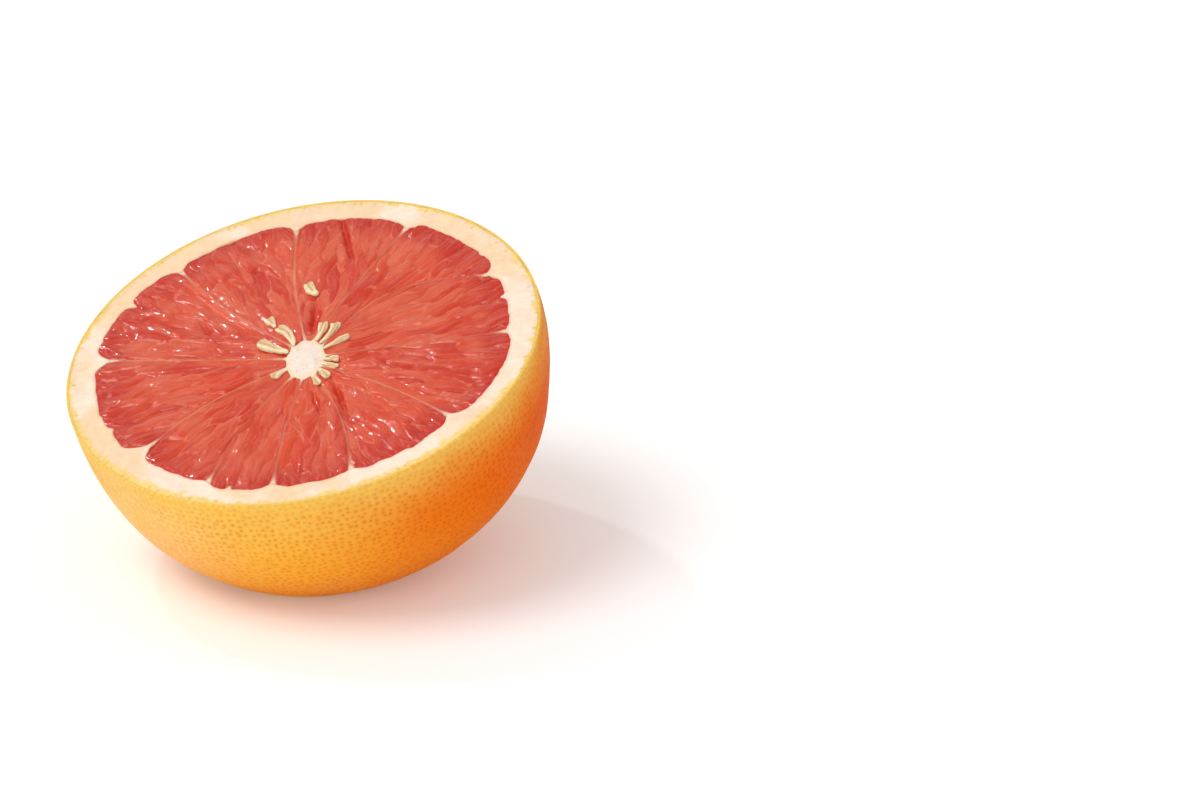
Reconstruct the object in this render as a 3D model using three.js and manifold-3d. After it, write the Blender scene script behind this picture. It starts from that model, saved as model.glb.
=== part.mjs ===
// Half of a pink grapefruit, cut across its segments and set down on its peel, cut face up.
//
// The half is modelled about its own stem axis. There the cut face is the plane z = 0, x runs to
// the right across the face, y runs to its far side, and the peel and flesh hang below it.
// Angles on the face are in degrees, anticlockwise from x. The finished half is then leaned over
// and lowered, so that the model's origin is the middle of the flat spot that the peel rests on.
// All sizes are in millimetres.

import * as THREE from 'three';
import { mergeVertices } from 'three/addons/utils/BufferGeometryUtils.js';
import Module from 'manifold-3d';

// The peel.
const faceRadius = 52.5;
const bodyDepth = 50;
const fullness = 2.47; // 2 gives half an ellipsoid, and more gives squarer shoulders
const poleDrift = 0.059; // how far the sections drift towards +x for each millimetre of depth
const rindThickness = 6.4;
const poleRindThickness = 8;
const scarRadius = 4.5; // the stem scar is a shallow dimple round the pole
const scarDepth = 0.8;

// The flat spot that the half stands on, a hexagon with its corners well apart so that it stands
// firm. Round it the pressed peel rises gently.
const flatSpotDepth = 3.3;
const flatSpotRadius = 16.6;
const flatSpotRise = 3; // degrees
const flatSpotTurn = 66; // puts a corner under the side that the half's weight leans to

// The white core, a spindle of soft tissue with a point towards each septum.
const coreX = 0.9;
const coreY = -5;
const coreWidth = 8.4;
const coreLength = 13.2;
const corePoint = 1.6;

// How the half stands.
const leanLeft = 9;
const leanForward = 17.4;

// Fits.
const clearance = 0.3; // between any two pieces
const overcut = 3; // how far a cutting solid runs past what it cuts

// Each septum runs from the core to a notch in the pith, and a segment follows it anticlockwise.
//   angle       where the notch is, about the stem axis
//   notch       how far the pith reaches in at the notch, past the rind's general thickness
//   coreAngle   where the septum leaves the core, about the core's middle
//   bow         how far it bulges sideways, anticlockwise
//   back        how much thicker than general the rind is behind the segment
const septa = [
  { angle: -5, notch: 1.1, coreAngle: 7, bow: 0, back: 0.6 },
  { angle: 23, notch: 2.7, coreAngle: 50, bow: 8, back: 0.1 },
  { angle: 61, notch: 2.7, coreAngle: 78, bow: 1, back: 0.5 },
  { angle: 96, notch: 3.8, coreAngle: 94, bow: 1.3, back: 0.1 },
  { angle: 133, notch: 2, coreAngle: 122, bow: 1.5, back: -1.1 },
  { angle: 176, notch: 2.9, coreAngle: 168, bow: 0, back: 0.1 },
  { angle: 222, notch: 5.1, coreAngle: 210, bow: -2.5, back: 0.6 },
  { angle: 248, notch: 0.6, coreAngle: 247, bow: -2.2, back: -1.2 },
  { angle: 266, notch: 0.9, coreAngle: 268, bow: -0.7, back: -0.6 },
  { angle: 287, notch: 0.8, coreAngle: 294, bow: 1.8, back: -0.5 },
  { angle: 318, notch: 1.9, coreAngle: 324, bow: 1.2, back: -0.9 },
];

// Small undeveloped pips lie in the flesh round the core.
//   around   direction from the core's middle to the pip's middle
//   out      distance from the core's edge to the pip's middle
//   turn     how far the pip points away from that direction
const pips = [
  { around: 70, out: 3.9, turn: 22, length: 4.4, width: 1.8, thickness: 1.6 },
  { around: 57, out: 5.2, turn: 36, length: 4.2, width: 1.9, thickness: 1.6 },
  { around: 90, out: 17.8, turn: 28, length: 4.8, width: 2.2, thickness: 1.6 },
  { around: 118, out: 4.5, turn: 9, length: 7.2, width: 2.1, thickness: 1.6 },
  { around: 121, out: 10.6, turn: -2, length: 3.5, width: 2, thickness: 1.4 },
  { around: 145, out: 4.6, turn: 2, length: 7.6, width: 2.4, thickness: 1.8 },
  { around: 219, out: 2.3, turn: 12, length: 2.8, width: 1.9, thickness: 1.4 },
  { around: 289, out: 2.4, turn: 13, length: 3.6, width: 1.4, thickness: 1.2 },
  { around: 307, out: 2.3, turn: 0, length: 3.2, width: 1.6, thickness: 1.3 },
  { around: 331, out: 2.5, turn: -6, length: 3.2, width: 1.3, thickness: 1.2 },
  { around: 347, out: 2.1, turn: 6, length: 2.8, width: 1.3, thickness: 1.2 },
  { around: 36, out: 4.2, turn: -14, length: 4.6, width: 1.2, thickness: 1.1 },
];

// How finely the curves are divided.
const peelRows = 14;
const peelColumns = 60;
const fleshLevels = 7;
const backSteps = 8;
const septumSteps = 6;
const coreSteps = 4;
const pipRows = 8;
const pipColumns = 8;
const deepestTurn = 0.9; // the flesh ends this far round the quarter turn from face to pole

const wasm = await Module();
wasm.setup();

const stemAxis = new THREE.Vector2(0, 0);
const coreMiddle = new THREE.Vector2(coreX, coreY);

function polar(middle, degrees, radius) {
  const angle = THREE.MathUtils.degToRad(degrees);
  return new THREE.Vector2(Math.cos(angle), Math.sin(angle)).multiplyScalar(radius).add(middle);
}

// Angles rise all the way round, so the septum after the last is the first, one turn further on.
function septumAt(index) {
  const septum = septa[index % septa.length];
  const turn = index < septa.length ? 0 : 360;
  return { ...septum, angle: septum.angle + turn, coreAngle: septum.coreAngle + turn };
}

// A quarter turn round the fullness curve, from the face (0) to the pole (1).
function curveAt(fraction) {
  const angle = fraction * Math.PI / 2;
  const power = 2 / fullness;
  return { narrowing: Math.cos(angle) ** power, sinking: Math.sin(angle) ** power };
}

function driftAt(depth) {
  return poleDrift * depth * (1 - 0.5 * depth / bodyDepth);
}

function solidFrom(geometry) {
  geometry.deleteAttribute('normal');
  geometry.deleteAttribute('uv');
  const merged = mergeVertices(geometry, 1e-4);
  return new wasm.Manifold(new wasm.Mesh({
    numProp: 3,
    vertProperties: Float32Array.from(merged.attributes.position.array),
    triVerts: Uint32Array.from(merged.index.array),
  }));
}

function geometryFrom(solid) {
  const mesh = solid.getMesh();
  const geometry = new THREE.BufferGeometry();
  geometry.setAttribute('position', new THREE.BufferAttribute(mesh.vertProperties, 3));
  geometry.setIndex(new THREE.BufferAttribute(mesh.triVerts, 1));
  geometry.computeVertexNormals();
  return geometry;
}

// Moves every corner of an anticlockwise outline outwards by a distance.
function grown(outline, distance) {
  return outline.map((corner, index) => {
    const before = outline[(index + outline.length - 1) % outline.length];
    const after = outline[(index + 1) % outline.length];
    const arriving = corner.clone().sub(before).normalize();
    const leaving = after.clone().sub(corner).normalize();
    const outwards = new THREE.Vector2(arriving.y + leaving.y, -arriving.x - leaving.x).normalize();
    const share = Math.max(outwards.x * arriving.y - outwards.y * arriving.x, 0.4);
    return corner.clone().addScaledVector(outwards, distance / share);
  });
}

// Carries a face outline down into the fruit, narrowing and drifting as the peel does. A rise
// above zero first carries it straight up, past the face.
function taperedSolid(outline, depth, rise) {
  const straightSteps = rise > 0 ? 1 : 0;
  const steps = fleshLevels + straightSteps;
  const geometry = new THREE.ExtrudeGeometry(new THREE.Shape(outline), {
    depth: 1,
    steps,
    bevelEnabled: false,
  });
  const position = geometry.attributes.position;
  for (let index = 0; index < position.count; index += 1) {
    const level = Math.round((1 - position.getZ(index)) * steps) - straightSteps;
    const { narrowing, sinking } = curveAt(deepestTurn * Math.max(level, 0) / fleshLevels);
    const height = level < 0 ? rise : -depth * sinking;
    const x = position.getX(index) * narrowing + driftAt(depth * sinking);
    const y = position.getY(index) * narrowing;
    position.setXYZ(index, x, y, height);
  }
  return solidFrom(geometry);
}

// The core's radius part of the way from one septum to the next.
function coreRadiusAt(degrees, fraction) {
  const angle = THREE.MathUtils.degToRad(degrees);
  const across = Math.cos(angle) / (coreWidth / 2);
  const along = Math.sin(angle) / (coreLength / 2);
  return 1 / Math.hypot(across, along) + corePoint * Math.abs(2 * fraction - 1) ** 3;
}

function coreOutline() {
  const outline = [];
  for (let index = 0; index < septa.length; index += 1) {
    const from = septumAt(index).coreAngle;
    const to = septumAt(index + 1).coreAngle;
    for (let step = 0; step < coreSteps; step += 1) {
      const degrees = THREE.MathUtils.lerp(from, to, step / coreSteps);
      outline.push(polar(coreMiddle, degrees, coreRadiusAt(degrees, step / coreSteps)));
    }
  }
  return outline;
}

// The inside of the rind at the face: a rounded lobe behind each segment, and a notch of pith
// between each lobe and the next.
function cavityOutline() {
  const outline = [];
  for (let index = 0; index < septa.length; index += 1) {
    const from = septumAt(index);
    const to = septumAt(index + 1);
    for (let step = 0; step < backSteps; step += 1) {
      const fraction = (1 - Math.cos(Math.PI * step / backSteps)) / 2;
      const notch = THREE.MathUtils.lerp(from.notch, to.notch, fraction);
      const lobe = Math.sqrt(1 - (2 * fraction - 1) ** 4);
      const inset = rindThickness + THREE.MathUtils.lerp(notch, from.back, lobe);
      const degrees = THREE.MathUtils.lerp(from.angle, to.angle, fraction);
      outline.push(polar(stemAxis, degrees, faceRadius - inset));
    }
  }
  return outline;
}

// The middle line of a septum, from inside the core to past the notch.
function septumLine(septum) {
  const start = polar(coreMiddle, septum.coreAngle, coreRadiusAt(septum.coreAngle, 0.5));
  const end = polar(stemAxis, septum.angle, faceRadius - rindThickness - septum.notch);
  const along = end.clone().sub(start).normalize();
  const sideways = new THREE.Vector2(-along.y, along.x);
  const line = [];
  for (let step = 0; step <= septumSteps; step += 1) {
    const fraction = step / septumSteps;
    const bulge = septum.bow * Math.sin(Math.PI * fraction);
    line.push(start.clone().lerp(end, fraction).addScaledVector(sideways, bulge));
  }
  line.push(end.clone().addScaledVector(along, rindThickness));
  return line;
}

// The wedge between two septa, which is wider than the flesh at its back and starts in the core.
function wedgeOutline(index) {
  const from = septumAt(index);
  const to = septumAt(index + 1);
  const behind = polar(stemAxis, (from.angle + to.angle) / 2, 1.5 * faceRadius);
  const inwards = septumLine(to).reverse();
  return grown([coreMiddle, ...septumLine(from), behind, ...inwards], -clearance / 2);
}

// The peel's profile, from the floor of the scar's dimple up to the face and back to the axis.
function peelSolid() {
  const floor = scarDepth - bodyDepth;
  const profile = [new THREE.Vector2(0, floor), new THREE.Vector2(0.7 * scarRadius, floor)];
  const edge = Math.acos((scarRadius / faceRadius) ** (fullness / 2)) / (Math.PI / 2);
  for (let row = 0; row < peelRows; row += 1) {
    const { narrowing, sinking } = curveAt(edge * (1 - row / peelRows));
    profile.push(new THREE.Vector2(faceRadius * narrowing, -bodyDepth * sinking));
  }
  profile.push(new THREE.Vector2(faceRadius, 0), new THREE.Vector2(0, 0));
  const geometry = new THREE.LatheGeometry(profile, peelColumns).rotateX(Math.PI / 2);
  const position = geometry.attributes.position;
  for (let index = 0; index < position.count; index += 1) {
    position.setX(index, position.getX(index) + driftAt(-position.getZ(index)));
  }
  return solidFrom(geometry);
}

// A pip is flat and pointed at both ends, and lies half sunk in the face.
function pipSolid(pip, growth) {
  const length = pip.length + 2 * growth;
  const width = pip.width + 2 * growth;
  const thickness = pip.thickness + 2 * growth;
  const profile = [];
  for (let row = 0; row <= pipRows; row += 1) {
    const fraction = row / pipRows;
    const onAxis = row === 0 || row === pipRows;
    const radius = onAxis ? 0 : width / 2 * Math.sin(Math.PI * fraction) ** 0.7;
    profile.push(new THREE.Vector2(radius, length * (fraction - 0.5)));
  }
  const place = polar(coreMiddle, pip.around, coreRadiusAt(pip.around, 0.5) + pip.out);
  const geometry = new THREE.LatheGeometry(profile, pipColumns)
    .rotateZ(-Math.PI / 2)
    .scale(1, 1, thickness / width)
    .rotateZ(THREE.MathUtils.degToRad(pip.around + pip.turn))
    .translate(place.x, place.y, 0);
  return solidFrom(geometry);
}

const lean = new THREE.Euler(
  THREE.MathUtils.degToRad(leanForward),
  THREE.MathUtils.degToRad(-leanLeft),
  0,
);
const leaning = new THREE.Matrix4().makeRotationFromEuler(lean);

// Presses a flat spot on the leaned peel, and says where its middle is.
function pressedFlat(peel) {
  const leaned = peel.transform(leaning.elements);
  const floor = leaned.boundingBox().min[2] + flatSpotDepth;
  const spot = leaned.slice(floor).bounds();
  const middle = new THREE.Vector3(
    (spot.min[0] + spot.max[0]) / 2,
    (spot.min[1] + spot.max[1]) / 2,
    floor,
  );
  const height = 2 * (faceRadius + bodyDepth);
  const run = height / Math.tan(THREE.MathUtils.degToRad(flatSpotRise));
  const above = new THREE.CylinderGeometry(flatSpotRadius + run, flatSpotRadius, height, 6)
    .rotateX(Math.PI / 2)
    .rotateZ(THREE.MathUtils.degToRad(flatSpotTurn + 90))
    .translate(middle.x, middle.y, floor + height / 2)
    .applyMatrix4(leaning.clone().invert());
  return { pressed: peel.intersect(solidFrom(above)), middle };
}

const half = new THREE.Group();
half.name = 'half';
half.rotation.copy(lean);

function addPiece(name, solid, color, roughness) {
  const material = new THREE.MeshStandardMaterial({ color, roughness, metalness: 0 });
  const mesh = new THREE.Mesh(geometryFrom(solid), material);
  mesh.name = name;
  half.add(mesh);
}

function numbered(name, index) {
  return `${name}_${String(index + 1).padStart(2, '0')}`;
}

const cavityDepth = bodyDepth - poleRindThickness;
const fleshDepth = cavityDepth - clearance;
const cavity = cavityOutline();
const core = coreOutline();

const { pressed, middle } = pressedFlat(peelSolid());
const rind = pressed.subtract(taperedSolid(cavity, cavityDepth, overcut));
addPiece('rind', rind, 0xf3962f, 0.45);

const pockets = pips.map((pip) => pipSolid(pip, clearance));
const allPockets = pockets.reduce((joined, pocket) => joined.add(pocket));
addPiece('core', taperedSolid(core, fleshDepth, 0).subtract(allPockets), 0xf4e8da, 0.8);

const flesh = taperedSolid(grown(cavity, -clearance), fleshDepth, 0);
const coreHole = taperedSolid(grown(core, clearance), cavityDepth, overcut);
const hollowFlesh = flesh.subtract(coreHole).subtract(allPockets);
for (let index = 0; index < septa.length; index += 1) {
  const wedge = taperedSolid(wedgeOutline(index), cavityDepth, overcut);
  addPiece(numbered('segment', index), hollowFlesh.intersect(wedge), 0xd6483a, 0.3);
}

// Pips that press on each other are trimmed apart, the later one giving way.
let taken = pockets[0];
pips.forEach((pip, index) => {
  const whole = pipSolid(pip, 0);
  addPiece(numbered('pip', index), index === 0 ? whole : whole.subtract(taken), 0xeadfb8, 0.6);
  taken = taken.add(pockets[index]);
});

half.position.copy(middle).negate();

const grapefruit = new THREE.Group();
grapefruit.name = 'grapefruit_half';
grapefruit.add(half);

export default grapefruit;
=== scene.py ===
"""Half a pink grapefruit: its looks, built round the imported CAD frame.

Everything is shaped in the fruit's own millimetres, as the CAD is: the cut face is the plane
z = 0, x runs to the right across it, y to its far side, and the flesh hangs below. One matrix
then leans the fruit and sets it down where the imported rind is.
"""

import math

import bmesh
import bpy
import numpy as np
from mathutils import Matrix, Vector, kdtree


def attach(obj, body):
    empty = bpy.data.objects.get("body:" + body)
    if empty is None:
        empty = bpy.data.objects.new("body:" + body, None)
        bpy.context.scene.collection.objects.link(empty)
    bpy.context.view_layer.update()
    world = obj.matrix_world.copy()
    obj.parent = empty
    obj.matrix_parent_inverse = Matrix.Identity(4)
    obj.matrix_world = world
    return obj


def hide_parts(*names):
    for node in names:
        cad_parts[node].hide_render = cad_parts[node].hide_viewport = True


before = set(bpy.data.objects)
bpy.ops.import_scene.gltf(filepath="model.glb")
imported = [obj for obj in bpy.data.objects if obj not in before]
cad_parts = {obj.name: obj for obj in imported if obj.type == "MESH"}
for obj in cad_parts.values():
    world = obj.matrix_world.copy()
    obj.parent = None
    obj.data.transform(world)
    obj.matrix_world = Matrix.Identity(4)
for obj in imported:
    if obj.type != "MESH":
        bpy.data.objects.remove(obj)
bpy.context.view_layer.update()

MM = 0.001

# Sizes shared with the CAD, in millimetres and degrees.
FACE_RADIUS = 52.5
BODY_DEPTH = 50
FULLNESS = 2.47
POLE_DRIFT = 0.059
RIND_THICKNESS = 6.4
POLE_RIND_THICKNESS = 8
SCAR_RADIUS = 4.5
SCAR_DEPTH = 0.8
CORE_MIDDLE = np.array([0.9, -5.0])
CORE_WIDTH = 8.4
CORE_LENGTH = 13.2
CORE_POINT = 0.8
LEAN_LEFT = 9
LEAN_FORWARD = 17.4
LOBE_CORNER = 4.6  # how far from a septum the back of a segment curves
CAVITY_DEPTH = BODY_DEPTH - POLE_RIND_THICKNESS
FLESH_RADIUS = 46  # about how far out the flesh reaches

# Septa: angle, notch, core angle, bow, and how much thicker the rind is behind the next segment.
SEPTA = [
    (-5, 1.1, 7, 0, 0.6),
    (23, 2.7, 50, 8, 0.1),
    (61, 2.7, 78, 1, 0.5),
    (96, 3.8, 94, 1.3, 0.1),
    (133, 2, 122, 1.5, -1.1),
    (176, 2.9, 168, 0, 0.1),
    (222, 5.1, 210, -2.5, 0.6),
    (248, 0.6, 247, -2.2, -1.2),
    (266, 0.9, 268, -0.7, -0.6),
    (287, 0.8, 294, 1.8, -0.5),
    (318, 1.9, 324, 1.2, -0.9),
]

# How clearly each septum shows as a pale line.
SEPTUM_CLEAR = (0.4, 0.25, 0.5, 0.8, 0.6, 0.7, 0.65, 0.3, 0.4, 0.55, 0.6)

# Pips: around, out, turn, length, width, thickness.
PIPS = [
    (70, 3.9, 22, 4.4, 1.8, 1.6),
    (57, 5.2, 36, 4.2, 1.9, 1.6),
    (90, 17.8, 28, 4.8, 2.2, 1.6),
    (118, 4.5, 9, 7.2, 2.1, 1.6),
    (121, 10.6, -2, 3.5, 2, 1.4),
    (145, 4.6, 2, 7.6, 2.4, 1.8),
    (219, 2.3, 12, 2.8, 1.9, 1.4),
    (289, 2.4, 13, 3.6, 1.4, 1.2),
    (307, 2.3, 0, 3.2, 1.6, 1.3),
    (331, 2.5, -6, 3.2, 1.3, 1.2),
    (347, 2.1, 6, 2.8, 1.3, 1.2),
    (36, 4.2, -14, 4.6, 1.2, 1.1),
]

# Small folds of pith that reach into a segment's back: angle, reach, half width in degrees.
FOLDS = [(151.3, 2.2, 1.0), (207.5, 1.0, 1.2), (254.6, 1.3, 0.6), (11, 1.1, 0.8), (33, 0.5, 1.0)]

# Hollows in the flesh: segment, start, end, half width, depth.
HOLLOWS = [
    (2, (1.3, 5.0), (2.3, 14.5), 1.5, 2.0),
    (2, (6.2, 44.0), (9.2, 28.5), 0.7, 1.6),
    (4, (-23.6, 12.5), (-21.2, 8.0), 0.8, 1.3),
    (9, (8.0, -14.5), (10.5, -23.0), 0.7, 1.2),
    (8, (3.5, -16.5), (5.5, -24.0), 0.6, 1.0),
    (10, (19.0, -9.5), (24.5, -12.5), 0.8, 1.2),
]

# Where the cut ran along a septum it left a smooth band: segment, side, from, to, width.
SMOOTH_BANDS = [
    (4, 0, 0.25, 0.95, 3.6),
    (5, 0, 0.05, 0.5, 2.4),
    (10, 0, 0.35, 0.95, 3.4),
    (2, 1, 0.5, 0.95, 1.6),
]


# ---- numbers


def smooth(low, high, value):
    """0 below low, 1 above high, and an S between them."""
    part = np.clip((value - low) / (high - low), 0, 1)
    return part * part * (3 - 2 * part)


def mix(first, second, share):
    return first + (second - first) * share


def mixed_colour(first, second, share):
    """Blends two colours, given as triples or one per corner, by a share per corner."""
    return mix(np.asarray(first), np.asarray(second), np.asarray(share)[:, None])


def srgb(red, green, blue):
    """A colour from its 0 to 255 display values, as linear light."""
    value = np.array([red, green, blue]) / 255
    return np.where(value <= 0.04045, value / 12.92, ((value + 0.055) / 1.055) ** 2.4)


def layered(colour, layers):
    """Lays display colours over a colour, one after the other, by a share per corner."""
    for over, share in layers:
        colour = mixed_colour(colour, srgb(*over), share)
    return colour


def lattice(cell, seed):
    """A repeatable number from -1 to 1 for each whole-numbered cell."""
    mixed = cell[:, 0] * 73856093 ^ cell[:, 1] * 19349663 ^ cell[:, 2] * 83492791 ^ seed * 2654435761
    mixed = (mixed ^ (mixed >> 13)) * 1274126177
    mixed = (mixed ^ (mixed >> 16)) & 0xFFFFFF
    return mixed / 0x7FFFFF - 1


def noise(points, size, seed, octaves=3):
    """Smooth noise of about -1 to 1, whose largest lumps are size apart."""
    points = np.asarray(points, dtype=float) / size
    if points.shape[1] == 2:
        points = np.column_stack([points, np.zeros(len(points))])
    total = np.zeros(len(points))
    strength = 1.0
    for octave in range(octaves):
        cell = np.floor(points).astype(np.int64)
        part = points - cell
        fade = part * part * (3 - 2 * part)
        for corner in range(8):
            offset = np.array([corner & 1, corner >> 1 & 1, corner >> 2])
            weight = np.prod(np.where(offset, fade, 1 - fade), axis=1)
            total += strength * weight * lattice(cell + offset, seed + octave)
        points = points * 2.03 + 7.1
        strength *= 0.5
    return total


def direction(degrees):
    angle = np.radians(degrees)
    return np.stack([np.cos(angle), np.sin(angle)], axis=-1)


def degrees_round(points):
    """How far round the fruit points lie, from 0 to 360."""
    return np.degrees(np.arctan2(points[:, 1], points[:, 0])) % 360


def turn_from(start, degrees):
    """The short way round from one angle to another, from -180 to 180."""
    return (degrees - start + 180) % 360 - 180


# ---- the fruit's form


def narrowing_at(sinking):
    """The width left at a share of the depth, on the fullness curve."""
    return np.maximum(1 - np.clip(sinking, 0, 1) ** FULLNESS, 0) ** (1 / FULLNESS)


def drift_at(depth):
    return POLE_DRIFT * depth * (1 - 0.5 * depth / BODY_DEPTH)


def tapered(flat, depth, full_depth):
    """Carries points of the face down into the fruit, narrowing and drifting as the CAD does."""
    narrowing = narrowing_at(depth / full_depth)
    return np.column_stack([
        flat[:, 0] * narrowing + drift_at(depth),
        flat[:, 1] * narrowing,
        -np.broadcast_to(depth, len(flat)),
    ])


def septum(index):
    angle, notch, core_angle, bow, back = SEPTA[index % len(SEPTA)]
    turn = 0 if index < len(SEPTA) else 360
    return angle + turn, notch, core_angle + turn, bow, back


def core_ellipse(degrees):
    spoke = direction(degrees)
    radius = 1 / np.hypot(spoke[..., 0] / (CORE_WIDTH / 2), spoke[..., 1] / (CORE_LENGTH / 2))
    return CORE_MIDDLE + spoke * radius[..., None]


def septum_point(index, fraction):
    """A point on a septum's line, from the core's side (0) to the notch in the pith (1)."""
    angle, notch, core_angle, bow, _ = septum(index)
    start = core_ellipse(core_angle)
    end = direction(angle) * (FACE_RADIUS - RIND_THICKNESS - notch)
    length = np.linalg.norm(end - start)
    along = (end - start) / length
    sideways = np.array([-along[1], along[0]])
    share = CORE_POINT / length + (1 - CORE_POINT / length) * np.asarray(fraction, dtype=float)
    return (
        mix(start, end, share[..., None])
        + sideways * (bow * np.sin(np.pi * share))[..., None]
    )


def core_side(index, across):
    """The core's edge between two septa, drawn out to a point at each."""
    from_angle = septum(index)[2]
    to_angle = septum(index + 1)[2]
    edge = core_ellipse(mix(from_angle, to_angle, across))
    first = septum_point(index, 0.0) - core_ellipse(from_angle)
    last = septum_point(index + 1, 0.0) - core_ellipse(to_angle)
    pull = np.abs(2 * across - 1) ** 3
    tip = np.where((across < 0.5)[:, None], first, last)
    return edge + tip * pull[:, None]


def fold_depth(degrees):
    total = np.zeros_like(degrees)
    for angle, reach, half_width in FOLDS:
        total += reach * np.exp(-np.abs(turn_from(angle, degrees) / half_width) ** 1.5)
    return total


def back_side(index, across):
    """The pith behind a segment, from notch to notch: a lobe with rounded shoulders."""
    from_angle, from_notch, _, _, back = septum(index)
    to_angle, to_notch, _, _, _ = septum(index + 1)
    span = math.radians(to_angle - from_angle) * (FACE_RADIUS - RIND_THICKNESS)
    corner = min(0.3 * span, LOBE_CORNER)
    from_septum = np.minimum(across, 1 - across) * span
    lobe = 1 - np.clip(1 - from_septum / corner, 0, 1) ** 2
    notch = mix(from_notch, to_notch, across)
    degrees = mix(from_angle, to_angle, across)
    inset = RIND_THICKNESS + mix(notch, back, lobe) + fold_depth(degrees) * lobe
    place = direction(degrees) * FLESH_RADIUS
    inset = inset + 0.3 * lobe * noise(place, 5, 11)
    inset = inset + 0.13 * lobe * noise(place, 1.4, 12, 1)
    return direction(degrees) * (FACE_RADIUS - inset)[:, None]


def cavity_at(degrees):
    """The inside of the rind at the face, at any angles."""
    degrees = np.asarray(degrees, dtype=float) % 360
    result = np.zeros((len(degrees), 2))
    for index in range(len(SEPTA)):
        start = septum(index)[0]
        span = septum(index + 1)[0] - start
        inside = (degrees - start) % 360 < span
        across = ((degrees[inside] - start) % 360) / span
        result[inside] = back_side(index, across)
    return result


lean = (
    Matrix.Rotation(math.radians(LEAN_FORWARD), 3, "X")
    @ Matrix.Rotation(math.radians(-LEAN_LEFT), 3, "Y")
)
LEAN = np.array(lean)


def read_values(items, field, kind, width=1):
    values = np.empty(len(items) * width, dtype=kind)
    items.foreach_get(field, values)
    return values


def face_middle():
    """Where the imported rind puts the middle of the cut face, in millimetres."""
    corners = read_values(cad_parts["rind"].data.vertices, "co", float, 3)
    flat = corners.reshape(-1, 3) / MM @ LEAN
    rim = flat[flat[:, 2] > flat[:, 2].max() - 0.01]
    return LEAN @ ((rim.min(axis=0) + rim.max(axis=0)) / 2)


FACE_MIDDLE = face_middle()


def placed(points):
    """From the fruit's own millimetres to the frame's metres."""
    return (points @ LEAN.T + FACE_MIDDLE) * MM


def pressed(points, lowest):
    """Flattens whatever would hang lower than a height above the floor."""
    standing = placed(points) / MM
    standing[:, 2] = np.maximum(standing[:, 2], lowest)
    return (standing - FACE_MIDDLE) @ LEAN


# ---- meshes


def ring_faces(first, first_count, second, second_count):
    """Joins two rings of corners, of equal counts or one twice the other."""
    if first_count == second_count:
        near = np.arange(first_count)
        far = (near + 1) % first_count
        return np.column_stack([first + near, first + far, second + far, second + near]).tolist()
    if first_count < second_count:
        return [face[::-1] for face in ring_faces(second, second_count, first, first_count)]
    faces = []
    for index in range(second_count):
        fine = first + 2 * index
        middle = fine + 1
        end = first + (2 * index + 2) % first_count
        here = second + index
        there = second + (index + 1) % second_count
        faces += [[fine, middle, here], [middle, there, here], [middle, end, there]]
    return faces


def fan_faces(first, count, tip):
    """Closes a ring of corners to one corner."""
    return [[first + i, first + (i + 1) % count, tip] for i in range(count)]


def extended(values, count, fill):
    """Lengthens a list of values per corner, with one value for all the corners added."""
    return np.concatenate([values, np.broadcast_to(fill, (count - len(values), *values.shape[1:]))])


def write_attribute(mesh, label, values, domain="POINT"):
    """Stores a number, a vector or, for a tint, a colour for each corner."""
    if values.ndim == 1:
        kind, field = "FLOAT", "value"
    elif label == "tint":
        kind, field = "FLOAT_COLOR", "color"
        values = np.column_stack([np.clip(values, 0, 1), np.ones(len(values))])
    else:
        kind, field = "FLOAT_VECTOR", "vector"
    layer = mesh.attributes.new(label, kind, domain)
    layer.data.foreach_set(field, values.astype(np.float32).ravel())


def finished_piece(name, corners, faces, material, node, attributes):
    """Makes a closed piece from fruit millimetres, and ties it to the frame."""
    mesh = bpy.data.meshes.new(name)
    mesh.from_pydata(placed(corners).tolist(), [], faces)
    shape = bmesh.new()
    shape.from_mesh(mesh)
    bmesh.ops.recalc_face_normals(shape, faces=shape.faces)
    shape.to_mesh(mesh)
    shape.free()
    mesh.shade_smooth()
    for label, values in attributes.items():
        write_attribute(mesh, label, values)
    mesh.materials.append(material)
    piece = bpy.data.objects.new(name, mesh)
    bpy.context.collection.objects.link(piece)
    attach(piece, "root")
    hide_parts(node)
    return piece


# ---- materials


def add_node(tree, kind, inputs=None, **settings):
    """Adds a node, with each input given as a socket to link or a value to set."""
    made = tree.nodes.new(kind)
    for label, value in settings.items():
        setattr(made, label, value)
    for label, value in (inputs or {}).items():
        if isinstance(value, bpy.types.NodeSocket):
            tree.links.new(value, made.inputs[label])
        else:
            made.inputs[label].default_value = value
    return made


def new_material(name):
    material = bpy.data.materials.new(name)
    material.use_nodes = True
    material.node_tree.nodes.clear()
    return material, material.node_tree


def close_material(tree, inputs):
    """Ends a material in one shader with these inputs."""
    shader = add_node(tree, "ShaderNodeBsdfPrincipled", inputs)
    add_node(tree, "ShaderNodeOutputMaterial", {"Surface": shader.outputs[0]})


def attribute(tree, name, output):
    return add_node(tree, "ShaderNodeAttribute", attribute_name=name).outputs[output]


def noise_texture(tree, place, scale, detail, roughness=0.55):
    inputs = {"Vector": place, "Scale": scale, "Detail": detail, "Roughness": roughness}
    return add_node(tree, "ShaderNodeTexNoise", inputs).outputs["Fac"]


def fine_noise(tree, size_mm, detail=3.0):
    """Noise whose lumps are about size_mm across, in object space."""
    place = add_node(tree, "ShaderNodeTexCoord").outputs["Object"]
    return noise_texture(tree, place, 1 / (size_mm * MM), detail)


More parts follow.
